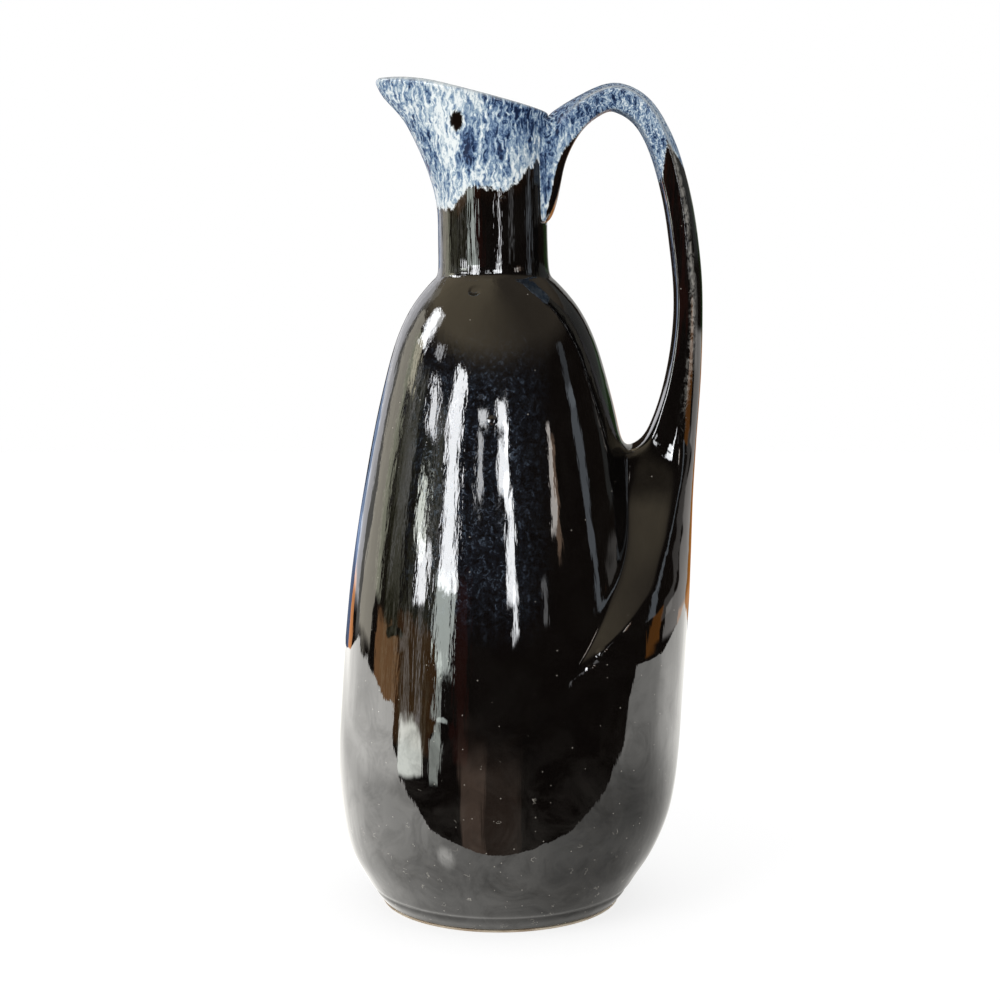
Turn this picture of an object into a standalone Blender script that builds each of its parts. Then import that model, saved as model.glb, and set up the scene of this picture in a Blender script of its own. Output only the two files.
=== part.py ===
"""Stoneware ewer, built from the clay members that are luted together to make it.

Metres, +Z up. The origin is the centre of the foot on the table. The spout points along -X and the
handle stands on +X. Each member is a closed solid of its own, and a thin layer of slip fills each joint.
"""

import math

import bmesh
import bpy
from mathutils import Vector

# Joints: a layer of slip, with a hairline on both sides of it
SLIP_THICKNESS = 0.0010
JOINT_GAP = 0.0003

# Foot: a flat disc with a spigot that centres the body
FOOT_RADIUS = 0.0443
FOOT_FLARE = 0.0015
FOOT_HEIGHT = 0.0044
FOOT_EDGE = 0.0008
FOOT_SEAT_WIDTH = 0.0102
SPIGOT_HEIGHT = 0.0040
SPIGOT_CLEARANCE = 0.0005

# Body: radius of each ring, and its rise above the ring below
BODY_WALL = 0.0050
BODY_SPRING_RADIUS = 0.0470
BODY_SPRING_SLOPE = 0.68
BELLY_RADIUS = 0.0594
BELLY_RISE = 0.0420
WAIST_RADIUS = 0.0576
WAIST_RISE = 0.0360
FLANK_RADIUS = 0.0541
FLANK_RISE = 0.0360
SHOULDER_RADIUS = 0.0437
SHOULDER_RISE = 0.0600
TURN_RADIUS = 0.0338
TURN_RISE = 0.0330
BODY_TOP_RADIUS = 0.0212
BODY_TOP_RISE = 0.0180
BODY_TOP_SLOPE = -0.80
BODY_FLOOR_FILLET = 0.0120

# Neck: a short straight collar, a little wider where it stands on the shoulder
NECK_RADIUS = 0.0195
NECK_WALL = 0.0040
NECK_LENGTH = 0.0144
NECK_SKIRT = 0.0010
NECK_SKIRT_HEIGHT = 0.0040

# Spout: a collar that is drawn out to a beak, with a rim that falls towards the handle
SPOUT_COLLAR = 0.0044
SPOUT_RISE = 0.0484
BEAK_REACH = 0.0230
BEAK_LEVEL = 0.0140
BEAK_PINCH = 0.30
RIM_DROP = 0.0119
RIM_LIP = 0.0030
BEAK_NARROWING = 1.8
FLARE_POWER = 1.65
SPOUT_ROUND_BACK = math.radians(50.0)

# Handle root: a boss spread over the back of the body, with its depth at three rings of the body
ROOT_EDGE = 0.0008
ROOT_TOE = 0.0030
ROOT_SINK = 0.0030
ROOT_BELLY_DEPTH = 0.0064
ROOT_FLANK_DEPTH = 0.0173
ROOT_TOP_DEPTH = 0.0168
ROOT_SPREAD = math.radians(70.0)
ROOT_FLANK_SPREAD = math.radians(41.0)
ROOT_NECK_SPREAD = math.radians(16.0)
ROOT_CROTCH_DROP = 0.0120
ROOT_LOW_CROWN = 1.8
ROOT_HIGH_CROWN = 0.9
HANDLE_STANDOFF = 0.0135

# Handle: a strap that bows out, arches over and runs down the back of the spout
STRAP_WIDTH = 0.0200
STRAP_THICKNESS = 0.0102
STRAP_BOW = 0.0047
STRAP_BOW_RISE = 0.0394
STEM_TAPER = 1.6
ARCH_REACH = 0.0235
ARCH_RISE = 0.0054
ARCH_WEB = 0.0060
TAIL_PROUD = 0.0036
TAIL_CLEARANCE = 0.0020

# Fineness of the meshes
TURN_STEPS = 48
BODY_STEPS = (8, 4, 3, 6, 4, 5)
SPOUT_STEPS = 10
LIP_STEPS = 6
STEM_STEPS = 6
ARCH_STEPS = 14
CROTCH_STEPS = 6
SECTION_POINTS = 24
SECTION_POWER = 0.80
MERGE_DISTANCE = 0.000001
SHARP_ANGLE = math.radians(35.0)

# Heights and seats that follow from the sizes above
LUTED = SLIP_THICKNESS + 2.0 * JOINT_GAP
FOOT_TOP_RADIUS = FOOT_RADIUS + FOOT_FLARE
BODY_SEAT_RADIUS = FOOT_TOP_RADIUS - FOOT_SEAT_WIDTH
BODY_BASE = FOOT_HEIGHT + LUTED
BELLY_HEIGHT = BODY_BASE + BELLY_RISE
WAIST_HEIGHT = BELLY_HEIGHT + WAIST_RISE
FLANK_HEIGHT = WAIST_HEIGHT + FLANK_RISE
SHOULDER_HEIGHT = FLANK_HEIGHT + SHOULDER_RISE
TURN_HEIGHT = SHOULDER_HEIGHT + TURN_RISE
BODY_TOP = TURN_HEIGHT + BODY_TOP_RISE
NECK_BASE = BODY_TOP + LUTED
NECK_TOP = NECK_BASE + NECK_LENGTH
BORE_RADIUS = NECK_RADIUS - NECK_WALL
SPOUT_BASE = NECK_TOP + LUTED
SPOUT_HEIGHT = SPOUT_COLLAR + SPOUT_RISE
RIM_BACK = SPOUT_BASE + SPOUT_HEIGHT - RIM_DROP
ROOT_FOOT = BODY_BASE + ROOT_TOE
ROOT_TOP = SHOULDER_HEIGHT
ROOT_CROTCH = ROOT_TOP - ROOT_CROTCH_DROP
STRAP_BASE = ROOT_TOP + LUTED

BODY_RINGS = (
    (BODY_BASE, BODY_SPRING_RADIUS),
    (BELLY_HEIGHT, BELLY_RADIUS),
    (WAIST_HEIGHT, WAIST_RADIUS),
    (FLANK_HEIGHT, FLANK_RADIUS),
    (SHOULDER_HEIGHT, SHOULDER_RADIUS),
    (TURN_HEIGHT, TURN_RADIUS),
    (BODY_TOP, BODY_TOP_RADIUS),
)

# Colours of the fired members
DARK_GLAZE = (0.010, 0.008, 0.007)
BLUE_GLAZE = (0.300, 0.375, 0.490)
BARE_CLAY = (0.550, 0.440, 0.330)


def blend(start, end, share):
    """Value that lies the given share of the way from start to end."""
    return start + (end - start) * share


def ease(share):
    """Smooth step from 0 to 1."""
    share = min(max(share, 0.0), 1.0)
    return share * share * (3.0 - 2.0 * share)


def hermite(start, end, start_slope, end_slope, length, share):
    """Cubic between two values with given slopes."""
    rest = 1.0 - share
    ends = start * (1.0 + 2.0 * share) * rest * rest + end * (3.0 - 2.0 * share) * share * share
    return ends + length * (start_slope * share * rest * rest - end_slope * share * share * rest)


def ring_slopes():
    """Slope of the body's outline at each of its rings: upright at the belly, mean of the chords elsewhere."""
    chords = []
    for (low, low_radius), (high, high_radius) in zip(BODY_RINGS, BODY_RINGS[1:]):
        chords.append((high_radius - low_radius) / (high - low))
    slopes = [0.5 * (below + above) for below, above in zip(chords, chords[1:])]
    slopes[0] = 0.0
    return [BODY_SPRING_SLOPE] + slopes + [BODY_TOP_SLOPE]


def body_radius(height):
    """Outer radius of the body at a height."""
    slopes = ring_slopes()
    last = len(BODY_RINGS) - 2
    for index in range(last + 1):
        low, low_radius = BODY_RINGS[index]
        high, high_radius = BODY_RINGS[index + 1]
        if height <= high or index == last:
            share = (height - low) / (high - low)
            return hermite(low_radius, high_radius, slopes[index], slopes[index + 1], high - low, share)


def body_slope(height):
    """Change of the body's outer radius with height."""
    step = MERGE_DISTANCE
    above = min(height + step, BODY_TOP)
    below = max(height - step, BODY_BASE)
    return (body_radius(above) - body_radius(below)) / (above - below)


def body_bore(height):
    """Inner radius of the body: an even wall, filled out over the foot and no narrower than the neck."""
    wall = BODY_WALL * math.sqrt(1.0 + body_slope(height) ** 2)
    radius = body_radius(height) - wall
    share = (height - BODY_BASE) / BODY_FLOOR_FILLET
    if share < 1.0:
        radius = blend(BODY_SEAT_RADIUS, radius, math.sqrt(1.0 - (1.0 - share) ** 2))
    return max(radius, BORE_RADIUS)


def body_heights():
    """Heights of the rings that the body is turned with."""
    heights = [BODY_BASE]
    for (low, _), (high, _), steps in zip(BODY_RINGS, BODY_RINGS[1:], BODY_STEPS):
        heights += [blend(low, high, (step + 1) / steps) for step in range(steps)]
    return heights


def turned_mesh(profile, closed):
    """Turn a profile of (radius, height) points round the Z axis."""
    mesh = bmesh.new()
    verts = [mesh.verts.new((radius, 0.0, height)) for radius, height in profile]
    pairs = list(zip(verts, verts[1:]))
    if closed:
        pairs.append((verts[-1], verts[0]))
    edges = [mesh.edges.new(pair) for pair in pairs]
    bmesh.ops.spin(mesh, geom=verts + edges, cent=(0, 0, 0), axis=(0, 0, 1),
                   angle=math.tau, steps=TURN_STEPS, use_merge=True)
    bmesh.ops.remove_doubles(mesh, verts=mesh.verts, dist=MERGE_DISTANCE)
    bmesh.ops.recalc_face_normals(mesh, faces=mesh.faces)
    return mesh


def lofted_mesh(rings):
    """Skin closed rings of equal point count, by extruding each ring to the next, and close both ends."""
    mesh = bmesh.new()
    ring = [mesh.verts.new(point) for point in rings[0]]
    edges = [mesh.edges.new(pair) for pair in zip(ring, ring[1:] + ring[:1])]
    for points in rings[1:]:
        grown = bmesh.ops.extrude_edge_only(mesh, edges=edges)["geom"]
        fresh = {item for item in grown if isinstance(item, bmesh.types.BMVert)}
        following = []
        for vert, point in zip(ring, points):
            partner = next(edge.other_vert(vert) for edge in vert.link_edges if edge.other_vert(vert) in fresh)
            partner.co = point
            following.append(partner)
        edges = [mesh.edges.get(pair) for pair in zip(following, following[1:] + following[:1])]
        ring = following
    bmesh.ops.holes_fill(mesh, edges=[edge for edge in mesh.edges if edge.is_boundary], sides=0)
    bmesh.ops.recalc_face_normals(mesh, faces=mesh.faces)
    return mesh


def clay_material(name, colour, roughness):
    """Principled material for one fired member."""
    material = bpy.data.materials.new(name + "_clay")
    material.use_nodes = True
    shader = material.node_tree.nodes["Principled BSDF"]
    shader.inputs["Base Color"].default_value = (*colour, 1.0)
    shader.inputs["Roughness"].default_value = roughness
    shader.inputs["Metallic"].default_value = 0.0
    material.diffuse_color = (*colour, 1.0)
    return material


def add_object(name, shape, parent=None):
    """Turn a bmesh into a named object, shaded smooth between its sharp edges."""
    mesh = bpy.data.meshes.new(name)
    shape.to_mesh(mesh)
    shape.free()
    mesh.shade_smooth()
    mesh.set_sharp_from_angle(angle=SHARP_ANGLE)
    piece = bpy.data.objects.new(name, mesh)
    piece.parent = parent
    bpy.context.scene.collection.objects.link(piece)
    return piece


def add_member(name, shape, parent, colour, roughness):
    """Add one clay member with its own material."""
    member = add_object(name, shape, parent)
    member.data.materials.append(clay_material(name, colour, roughness))
    return member


def add_cutter(name, shape, parent):
    """Add a solid that only shapes others."""
    cutter = add_object(name, shape, parent)
    cutter.hide_render = True
    cutter.display_type = "WIRE"
    return cutter


def cut(member, cutter, operation):
    """Shape a member with a cutter."""
    modifier = member.modifiers.new(cutter.name, "BOOLEAN")
    modifier.operation = operation
    modifier.solver = "EXACT"
    modifier.object = cutter


def collar_profile(inner, outer, low, high):
    """Section of a plain ring."""
    return [(outer, high), (outer, low), (inner, low), (inner, high)]


def foot_mesh():
    """Flat base disc with its spigot."""
    spigot = BODY_SEAT_RADIUS - SPIGOT_CLEARANCE
    spigot_top = FOOT_HEIGHT + SPIGOT_HEIGHT
    profile = [
        (0.0, 0.0),
        (FOOT_RADIUS - FOOT_EDGE, 0.0),
        (FOOT_RADIUS, FOOT_EDGE),
        (FOOT_TOP_RADIUS, FOOT_HEIGHT),
        (spigot, FOOT_HEIGHT),
        (spigot, spigot_top),
        (0.0, spigot_top),
    ]
    return turned_mesh(profile, closed=False)


def body_outside(offset):
    """Outline of the body from its top down, moved out by an offset."""
    return [(body_radius(height) + offset, height) for height in reversed(body_heights())]


def body_mesh():
    """Hollow belly and shoulder, open at both ends, with half as many rings inside as outside."""
    heights = body_heights()
    inside = [(body_bore(height), height) for height in heights[:-1:2] + heights[-1:]]
    return turned_mesh(body_outside(0.0) + inside, closed=True)


def neck_mesh():
    """Straight collar with a small skirt where it stands on the shoulder."""
    profile = [
        (NECK_RADIUS, NECK_TOP),
        (NECK_RADIUS, NECK_BASE + NECK_SKIRT_HEIGHT),
        (NECK_RADIUS + 0.25 * NECK_SKIRT, NECK_BASE + 0.5 * NECK_SKIRT_HEIGHT),
        (NECK_RADIUS + NECK_SKIRT, NECK_BASE),
        (BORE_RADIUS, NECK_BASE),
        (BORE_RADIUS, NECK_TOP),
    ]
    return turned_mesh(profile, closed=True)


def beak_share(angle):
    """How far a direction takes part in the beak: nothing round the back, all of it at -X."""
    back = math.cos(SPOUT_ROUND_BACK)
    return max(0.0, (back - math.cos(angle)) / (1.0 + back)) ** BEAK_NARROWING


def rim_fall(angle):
    """How far the rim lies below the tip of the beak in a direction."""
    reach = NECK_RADIUS * math.cos(angle) - BEAK_REACH * beak_share(angle)
    tip = -NECK_RADIUS - BEAK_REACH
    level = tip + BEAK_LEVEL
    return RIM_DROP * min(max((reach - level) / (NECK_RADIUS - level), 0.0), 1.0)


def spout_mesh():
    """Turn a straight tube, then draw it out to the beak and tilt its rim."""
    top = SPOUT_HEIGHT
    levels = [blend(SPOUT_COLLAR, top - RIM_LIP, step / SPOUT_STEPS) for step in range(SPOUT_STEPS + 1)]
    outside = [(NECK_RADIUS, level) for level in reversed([0.0] + levels)]
    inside = [(BORE_RADIUS, level) for level in [0.0] + levels]
    middle = NECK_RADIUS - 0.5 * NECK_WALL
    lip = []
    for step in range(1, LIP_STEPS):
        angle = math.pi * (step / LIP_STEPS - 0.5)
        lip.append((middle + 0.5 * NECK_WALL * math.sin(angle), top - RIM_LIP * (1.0 - math.cos(angle))))
    mesh = turned_mesh(outside + inside + lip, closed=True)
    for vert in mesh.verts:
        angle = math.atan2(vert.co.y, vert.co.x)
        share = max(vert.co.z - SPOUT_COLLAR, 0.0) / SPOUT_RISE
        beak = beak_share(angle) * share ** FLARE_POWER
        fall = rim_fall(angle) * share
        vert.co.x -= BEAK_REACH * beak
        vert.co.y *= 1.0 - BEAK_PINCH * beak
        vert.co.z += SPOUT_BASE - fall
    bmesh.ops.recalc_face_normals(mesh, faces=mesh.faces)
    return mesh


def section_shares():
    """Points of a strap's rounded section: shares of its half width and half depth."""
    shares = []
    for index in range(SECTION_POINTS):
        angle = math.tau * index / SECTION_POINTS
        across = math.copysign(abs(math.cos(angle)) ** SECTION_POWER, math.cos(angle))
        depth = math.copysign(abs(math.sin(angle)) ** SECTION_POWER, math.sin(angle))
        shares.append((across, depth))
    return shares


def strap_ring(centre, outward, outer_half, inner_half):
    """Section of the strap about a point of its path; outward points away from the finger loop."""
    ring = []
    for across, depth in section_shares():
        half = outer_half if depth > 0.0 else inner_half
        ring.append(centre + outward * (half * depth) + Vector((0.0, 0.5 * STRAP_WIDTH * across, 0.0)))
    return ring


def root_centre():
    """Distance from the axis to the middle of the strap where it stands on its root."""
    return body_radius(ROOT_TOP) + HANDLE_STANDOFF + 0.5 * ROOT_TOP_DEPTH


def root_top_ring(height):
    """Section of the handle at the joint between strap and root."""
    half = 0.5 * ROOT_TOP_DEPTH
    return strap_ring(Vector((root_centre(), 0.0, height)), Vector((1.0, 0.0, 0.0)), half, half)


def strap_rings():
    """Sections of the strap from its root, over the arch and down to the tail."""
    bow_x = root_centre() + STRAP_BOW
    bow_z = STRAP_BASE + STRAP_BOW_RISE
    arch_x = NECK_RADIUS + ARCH_REACH
    arch_z = RIM_BACK + ARCH_RISE
    tail_z = SPOUT_BASE + TAIL_CLEARANCE
    half = 0.5 * STRAP_THICKNESS
    rings = []
    for step in range(STEM_STEPS):
        rest = 1.0 - step / STEM_STEPS
        thickness = blend(half, 0.5 * ROOT_TOP_DEPTH, rest ** STEM_TAPER)
        centre = Vector((bow_x - STRAP_BOW * rest ** 2, 0.0, blend(bow_z, STRAP_BASE, rest)))
        rings.append(strap_ring(centre, Vector((1.0, 0.0, 0.0)), thickness, thickness))
    outer_reach = bow_x - arch_x
    outer_rise = arch_z - bow_z
    for step in range(ARCH_STEPS):
        angle = 0.5 * math.pi * step / ARCH_STEPS
        centre = Vector((arch_x + outer_reach * math.cos(angle), 0.0, bow_z + outer_rise * math.sin(angle)))
        outward = Vector((math.cos(angle) / outer_reach, 0.0, math.sin(angle) / outer_rise)).normalized()
        rings.append(strap_ring(centre, outward, half, half))
    inner_rise = arch_z - tail_z
    for step in range(ARCH_STEPS + 1):
        share = step / ARCH_STEPS
        angle = 0.5 * math.pi * share
        centre = Vector((arch_x - ARCH_REACH * math.sin(angle), 0.0, tail_z + inner_rise * math.cos(angle)))
        outward = Vector((-math.sin(angle) / ARCH_REACH, 0.0, math.cos(angle) / inner_rise)).normalized()
        web = ARCH_WEB * ease(2.0 * share)
        rings.append(strap_ring(centre, outward, half + web, blend(half, TAIL_PROUD, share)))
    return rings


def root_depth(height):
    """Depth of the root over the body, along the handle's own plane."""
    crotch_depth = HANDLE_STANDOFF + ROOT_TOP_DEPTH
    stations = (
        (ROOT_FOOT, ROOT_EDGE),
        (BELLY_HEIGHT, ROOT_BELLY_DEPTH),
        (FLANK_HEIGHT, ROOT_FLANK_DEPTH),
        (ROOT_TOP, crotch_depth),
    )
    chords = [(high[1] - low[1]) / (high[0] - low[0]) for low, high in zip(stations, stations[1:])]
    slopes = [chords[0]] + [0.5 * (low + high) for low, high in zip(chords, chords[1:])] + [chords[-1]]
    for index, (low, high) in enumerate(zip(stations, stations[1:])):
        if height <= high[0] or high is stations[-1]:
            length = high[0] - low[0]
            share = (height - low[0]) / length
            return hermite(low[1], high[1], slopes[index], slopes[index + 1], length, share)


def root_spread(height):
    """Half angle that the root takes up round the body."""
    if height <= FLANK_HEIGHT:
        share = ease((height - WAIST_HEIGHT) / (FLANK_HEIGHT - WAIST_HEIGHT))
        return blend(ROOT_SPREAD, ROOT_FLANK_SPREAD, share)
    share = min((height - FLANK_HEIGHT) / (ROOT_CROTCH - FLANK_HEIGHT), 1.0)
    return blend(ROOT_FLANK_SPREAD, ROOT_NECK_SPREAD, 1.0 - (1.0 - share) ** 2)


def root_ring(height):
    """Section of the root: sunk into the body up to the crotch, then it becomes the strap's own section."""
    half_points = SECTION_POINTS // 2
    spread = root_spread(height)
    lift = ease((height - FLANK_HEIGHT) / (ROOT_CROTCH - FLANK_HEIGHT))
    crown_power = blend(ROOT_LOW_CROWN, ROOT_HIGH_CROWN, lift)
    seat = body_radius(height) + JOINT_GAP
    rise = max(height - ROOT_CROTCH, 0.0) / ROOT_CROTCH_DROP
    inside = seat + HANDLE_STANDOFF * math.sqrt(rise)
    depth = seat + max(root_depth(height), ROOT_EDGE)
    ring = []
    for index, final in enumerate(root_top_ring(height)):
        if index <= half_points:
            across = 1.0 - 2.0 * index / half_points
            edge = inside + ROOT_EDGE
            radius = edge + max(depth - edge, 0.0) * (1.0 - across * across) ** crown_power
        else:
            across = 2.0 * (index - half_points) / half_points - 1.0
            radius = inside - ROOT_SINK
        angle = spread * across * seat / inside
        hugging = Vector((radius * math.cos(angle), radius * math.sin(angle), height))
        ring.append(hugging.lerp(final, ease(rise)))
    return ring


def root_rings():
    """Sections of the root from its toe above the foot up to the joint with the strap."""
    heights = [ROOT_FOOT] + [height for height in body_heights() if ROOT_FOOT < height < ROOT_CROTCH]
    for step in range(CROTCH_STEPS + 1):
        heights.append(blend(ROOT_CROTCH, ROOT_TOP, (step / CROTCH_STEPS) ** 1.5))
    return [root_ring(height) for height in heights]


def build_stand(parent):
    """Foot, body and neck, each on its ring of slip."""
    seat = BODY_SEAT_RADIUS
    add_member("foot", foot_mesh(), parent, BARE_CLAY, 0.75)
    foot_slip = collar_profile(seat, FOOT_TOP_RADIUS, FOOT_HEIGHT + JOINT_GAP, BODY_BASE - JOINT_GAP)
    add_member("foot_slip", turned_mesh(foot_slip, closed=True), parent, BARE_CLAY, 0.60)
    add_member("body", body_mesh(), parent, DARK_GLAZE, 0.10)
    neck_slip = collar_profile(BORE_RADIUS, NECK_RADIUS + NECK_SKIRT, BODY_TOP + JOINT_GAP, NECK_BASE - JOINT_GAP)
    add_member("neck_slip", turned_mesh(neck_slip, closed=True), parent, BARE_CLAY, 0.60)
    add_member("neck", neck_mesh(), parent, DARK_GLAZE, 0.10)


def build_spout(parent):
    """Spout on its ring of slip."""
    spout_slip = collar_profile(BORE_RADIUS, NECK_RADIUS, NECK_TOP + JOINT_GAP, SPOUT_BASE - JOINT_GAP)
    add_member("spout_slip", turned_mesh(spout_slip, closed=True), parent, BARE_CLAY, 0.60)
    add_member("spout", spout_mesh(), parent, BLUE_GLAZE, 0.12)


def build_handle(parent):
    """Root on the body, strap on the root, and the strap's tail fitted to the back of the spout."""
    root = add_member("handle_root", lofted_mesh(root_rings()), parent, DARK_GLAZE, 0.10)
    body_core = [(0.0, BODY_TOP)] + body_outside(JOINT_GAP) + [(0.0, BODY_BASE)]
    body_cutter = add_cutter("root_seat_cutter", turned_mesh(body_core, closed=False), parent)
    cut(root, body_cutter, "DIFFERENCE")
    root_slip = [root_top_ring(ROOT_TOP + JOINT_GAP), root_top_ring(STRAP_BASE - JOINT_GAP)]
    add_member("handle_root_slip", lofted_mesh(root_slip), parent, BARE_CLAY, 0.60)
    handle = add_member("handle", lofted_mesh(strap_rings()), parent, DARK_GLAZE, 0.10)
    clear = NECK_RADIUS + LUTED
    high = RIM_BACK + ARCH_RISE + STRAP_THICKNESS
    seat_core = [(0.0, high), (clear, high), (clear, NECK_TOP), (0.0, NECK_TOP)]
    seat_cutter = add_cutter("handle_seat_cutter", turned_mesh(seat_core, closed=False), parent)
    cut(handle, seat_cutter, "DIFFERENCE")
    top_slip = add_member("handle_top_slip", lofted_mesh(strap_rings()), parent, BARE_CLAY, 0.60)
    inner = NECK_RADIUS + JOINT_GAP
    layer = collar_profile(inner, inner + SLIP_THICKNESS, NECK_TOP, RIM_BACK - RIM_LIP)
    layer_cutter = add_cutter("slip_layer_cutter", turned_mesh(layer, closed=True), parent)
    cut(top_slip, layer_cutter, "INTERSECT")


def main():
    """Clear the scene and build the ewer."""
    for old in list(bpy.data.objects):
        bpy.data.objects.remove(old)
    ewer = bpy.data.objects.new("ewer", None)
    bpy.context.scene.collection.objects.link(ewer)
    build_stand(ewer)
    build_spout(ewer)
    build_handle(ewer)


main()
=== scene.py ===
"""Looks of the stoneware ewer: one thrown and luted form under a dark iron glaze and a blue drip glaze.

Tables of the form are in millimetres, and everything in the scene is in metres. The origin is the middle
of the foot on the floor, the spout points along -X and the handle stands on +X.
"""

import bisect
import math
from functools import partial

import bmesh
import bpy
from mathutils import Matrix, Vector


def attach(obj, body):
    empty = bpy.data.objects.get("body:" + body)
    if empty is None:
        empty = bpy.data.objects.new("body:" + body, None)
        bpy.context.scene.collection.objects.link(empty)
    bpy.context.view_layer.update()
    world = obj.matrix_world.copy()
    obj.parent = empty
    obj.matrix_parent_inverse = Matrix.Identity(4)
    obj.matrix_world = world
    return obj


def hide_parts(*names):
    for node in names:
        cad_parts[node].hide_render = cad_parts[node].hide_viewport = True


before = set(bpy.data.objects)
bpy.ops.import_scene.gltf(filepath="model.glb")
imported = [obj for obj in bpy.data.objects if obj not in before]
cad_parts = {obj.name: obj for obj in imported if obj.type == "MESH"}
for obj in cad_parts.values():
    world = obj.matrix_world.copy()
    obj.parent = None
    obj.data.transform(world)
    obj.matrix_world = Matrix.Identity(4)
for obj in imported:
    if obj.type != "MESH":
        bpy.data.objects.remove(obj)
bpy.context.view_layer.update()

bl_info = {
    "name": "Stoneware Ewer",
    "version": (1, 0, 0),
    "blender": (4, 5, 0),
    "location": "3D View > Sidebar > Ewer",
    "description": "Builds the glazed ewer, its bare foot and a plain studio around the packed part",
    "category": "Object",
}

MM = 0.001

# Thrown body: (height, outer radius)
FOOT_OUTLINE = (
    (0.9, 43.7), (1.3, 43.9), (2.4, 44.6), (3.5, 45.6), (4.6, 46.4), (5.5, 46.8), (6.1, 46.8),
    (6.6, 47.2),
)
BODY_OUTLINE = (
    (6.6, 47.2), (7.4, 48.1), (8.6, 48.9), (10.0, 49.6), (13.0, 51.5), (20.0, 55.1), (32.0, 57.9),
    (46.0, 59.15), (62.0, 59.1), (80.0, 57.9), (100.0, 56.2), (120.0, 54.1), (140.0, 51.2),
    (160.0, 47.7), (180.0, 43.7), (195.0, 40.0), (205.0, 37.1), (213.0, 34.0), (220.0, 30.2),
    (226.0, 25.6), (230.0, 21.8),
)
NECK_OUTLINE = (
    (230.5, 21.2), (231.1, 20.7), (232.0, 20.3), (234.0, 19.95), (238.0, 19.8), (243.0, 19.75),
    (247.0, 19.7), (250.6, 19.7),
)

# Apron, the foot of the handle spread over the back of the body: tables over height
APRON_SWELL = (
    (0.9, 1.4), (6.6, 1.6), (8.0, 1.7), (13.0, 1.9), (20.0, 2.8), (28.0, 4.4), (36.0, 5.8), (46.0, 6.9),
    (56.0, 7.8), (75.0, 10.0), (97.0, 13.2), (112.0, 15.5), (127.0, 17.9), (150.0, 22.2), (168.0, 26.6),
)
RIDGE_SWELL = (
    (90.0, 0.6), (97.0, 1.4), (101.0, 2.3), (110.0, 6.3), (119.0, 8.7), (125.0, 9.7), (131.0, 10.9),
    (137.0, 12.5), (143.0, 13.9), (149.0, 15.7), (155.0, 17.4), (161.0, 19.0), (168.0, 20.4),
)
RIDGE_ANGLE = (
    (6.0, 60.0), (60.0, 60.0), (85.0, 60.0), (97.0, 57.0), (101.0, 53.9), (110.0, 43.7), (119.0, 34.7),
    (125.0, 28.9), (131.0, 24.7), (137.0, 21.4), (143.0, 18.5), (149.0, 15.9), (155.0, 13.7),
    (161.0, 11.9), (168.0, 9.6),
)
CREASE_ANGLE = (
    (6.0, 80.0), (60.0, 78.0), (85.0, 70.0), (97.0, 61.5), (101.0, 57.7), (110.0, 50.6), (119.0, 43.2),
    (125.0, 37.0), (131.0, 31.6), (137.0, 27.2), (143.0, 23.7), (149.0, 20.7), (155.0, 18.1),
    (161.0, 15.6), (165.0, 13.8), (168.0, 12.8),
)
FLANK_HOLLOW = ((130.0, 1.05), (148.0, 1.6), (158.0, 1.35), (168.0, 1.05))
SWELL_ANGLE = (
    (6.0, 80.0), (60.0, 78.0), (85.0, 74.0), (97.0, 68.0), (104.0, 60.0), (112.0, 52.0), (120.0, 45.0),
    (168.0, 30.0),
)
CREASE_LIFT = ((155.0, 0.0), (162.0, 0.4), (168.0, 1.2))
SEAT_ANGLE = ((166.5, 13.2), (172.0, 14.4), (190.0, 18.0), (215.0, 24.0), (231.0, 30.0), (251.0, 31.0))
LEAN = (
    (0.0, 0.0), (60.0, -0.1), (120.0, -0.4), (180.0, -0.75), (207.0, -1.1), (221.0, -1.35),
    (235.0, -1.85), (243.0, -2.1), (270.0, -2.35), (301.0, -2.6),
)
FOLD_START = 66.0
FOLD_LENGTH = 40.0
CREASE_FADE = math.radians(14.0)
CROTCH = 166.5
CROTCH_RISE = 1.9
CROTCH_ZONE = (154.0, 180.0)
CROTCH_FRONT = 40.0
CROTCH_INSETS = (0.0, 2.0, 4.0, 6.0)

# Bare foot: (radius, height), stretched a little under the apron
BARE_FOOT_OUTLINE = (
    (0.0, 0.6), (30.0, 0.6), (34.0, 0.35), (37.0, 0.0), (42.7, 0.0), (43.4, 0.15), (43.7, 0.5),
    (43.7, 0.95), (43.4, 1.1), (0.0, 1.1),
)
FOOT_STRETCH = 1.031
FOOT_STEPS = 96

# Strap: stations of its outer and inner edge in the handle's plane, (distance from the axis, height)
STRAP_OUTER = (
    (72.6, 166.5), (73.0, 172.0), (73.4, 178.5), (74.0, 187.0), (74.6, 196.0), (75.0, 207.0),
    (75.2, 219.0), (75.2, 231.0), (74.2, 243.5), (72.4, 255.5), (69.8, 266.6), (66.3, 277.5),
    (62.0, 286.5), (57.2, 293.5), (50.9, 298.1), (43.9, 299.9), (37.4, 298.3), (31.6, 295.5),
    (27.4, 293.2), (24.2, 291.2), (21.9, 289.7), (20.6, 288.7), (20.0, 287.9), (19.5, 287.0),
)
STRAP_INNER = (
    (48.7, 168.4), (53.3, 171.4), (56.4, 177.5), (59.6, 186.5), (62.0, 196.0), (63.9, 207.0),
    (64.9, 219.0), (64.8, 230.5), (63.8, 242.0), (62.3, 253.5), (59.9, 264.6), (56.7, 275.2),
    (52.7, 283.3), (48.7, 287.3), (45.4, 289.0), (42.4, 289.8), (38.4, 288.0), (33.2, 284.0),
    (28.9, 277.6), (26.1, 271.0), (24.7, 264.5), (24.3, 258.5), (23.6, 253.4), (19.5, 250.6),
)
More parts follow.
